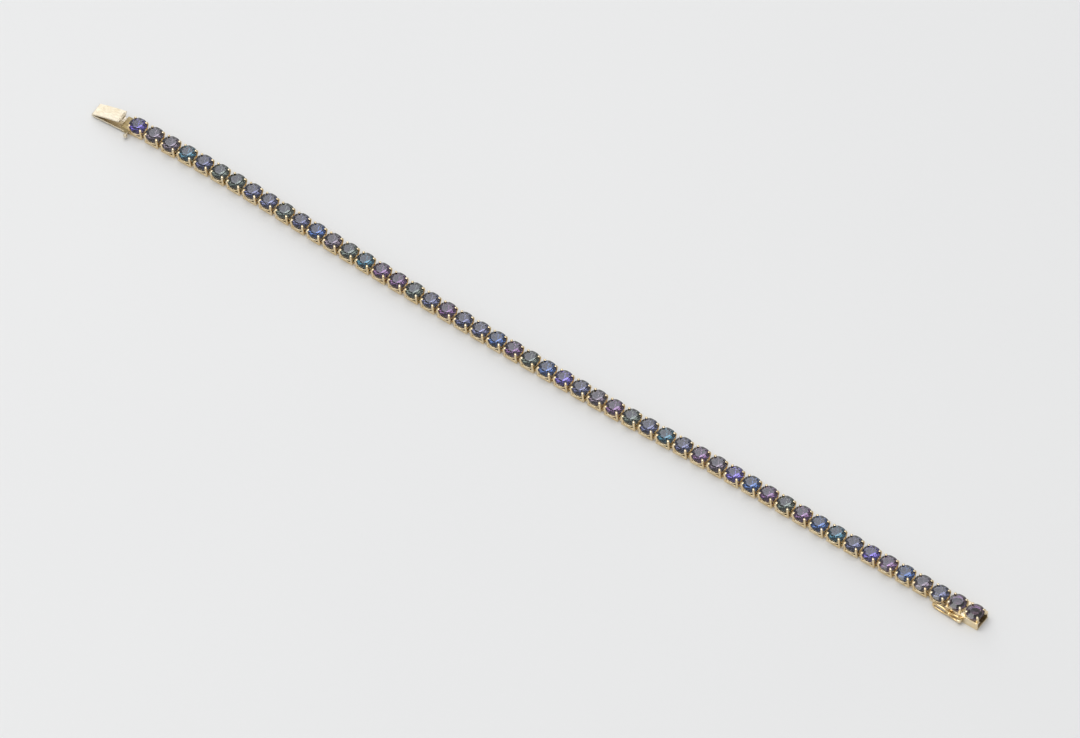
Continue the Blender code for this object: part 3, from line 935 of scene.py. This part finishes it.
# The faces inside the box are painted dark, as painted shade.
painted_shade_inside(shell)
box_parts = [shell, *barrel()]
for stone in range(CLASP_STONES):
    for prong in four_claws(CLASP_CLAW_STOPS):
        prong.data.transform(Matrix.Translation((stone * PITCH, 0, 0)))
        box_parts.append(prong)
for part in box_parts[1:]:
    part.data.materials.append(clasp_gold)
clasp_box = joined("clasp_box_gold", box_parts)
clasp_box.data.transform(box_stand)
smooth(clasp_box)
gold_piece(clasp_box, "bracelet", "clasp_box")


# The safety catch: one closed loop of round gold wire, pinched to a figure-eight and bound with a
# band at its waist. Its near loop runs through the barrel, and it lies folded back along the row.
WIRE_RADIUS = 0.0002
CATCH_REACH = 0.00537
CATCH_HALF_HEIGHT = 0.0006
CATCH_TURN = math.radians(-182)
WIRE_STEPS = 5
BAND_HALF = Vector((0.0002, 0.0003, 0.0004))
BAND_EDGE = 0.00012
CATCH_GOLD = (0.83, 0.59, 0.28, 1)
CATCH_GOLD_PALE = (0.91, 0.71, 0.41, 1)

# Half outline of the figure-eight: share of its reach, and share of its half height.
WAIST = (0.38, 0.38)
CATCH_OUTLINE = (
    (0.00, 0.00),
    (0.00, 0.60),
    (0.03, 0.92),
    (0.10, 1.00),
    (0.22, 0.90),
    (0.32, 0.55),
    WAIST,
    (0.45, 0.55),
    (0.56, 0.88),
    (0.70, 1.00),
    (0.84, 0.92),
    (0.95, 0.62),
    (1.00, 0.00),
)


def bent_wire():
    """The closed wire through the outline's points, as a tube."""
    half = [(u * CATCH_REACH, w * CATCH_HALF_HEIGHT) for u, w in CATCH_OUTLINE]
    outline = half + [(u, -w) for u, w in half[-2:0:-1]]
    bpy.ops.object.select_all(action="DESELECT")
    bpy.ops.curve.primitive_bezier_circle_add()
    wire = bpy.context.object
    curve = wire.data
    curve.splines.clear()
    spline = curve.splines.new("BEZIER")
    spline.bezier_points.add(len(outline) - 1)
    for point, (x, z) in zip(spline.bezier_points, outline):
        point.co = (x, 0, z)
        point.handle_left_type = "AUTO"
        point.handle_right_type = "AUTO"
    spline.use_cyclic_u = True
    curve.resolution_u = WIRE_STEPS
    curve.bevel_depth = WIRE_RADIUS
    curve.bevel_resolution = 3
    bpy.ops.object.convert(target="MESH")
    return bpy.context.object


waist = Vector((WAIST[0] * CATCH_REACH, 0, 0))
band = bevelled(block("band", waist - BAND_HALF, waist + BAND_HALF), BAND_EDGE, 4)
catch = joined("safety_catch_gold", [bent_wire(), band])
hinge = Matrix.Translation((BARREL_PLACE, BARREL_SIDE, BOX_HEIGHT / 2))
catch.data.transform(box_stand @ hinge @ Matrix.Rotation(CATCH_TURN, 4, "Z"))
smooth(catch)
catch.data.materials.clear()
catch.data.materials.append(
    polished_gold("catch_gold", CATCH_GOLD, CATCH_GOLD_PALE, roughness=0.16)
)
gold_piece(catch, "safety_catch", "safety_catch")
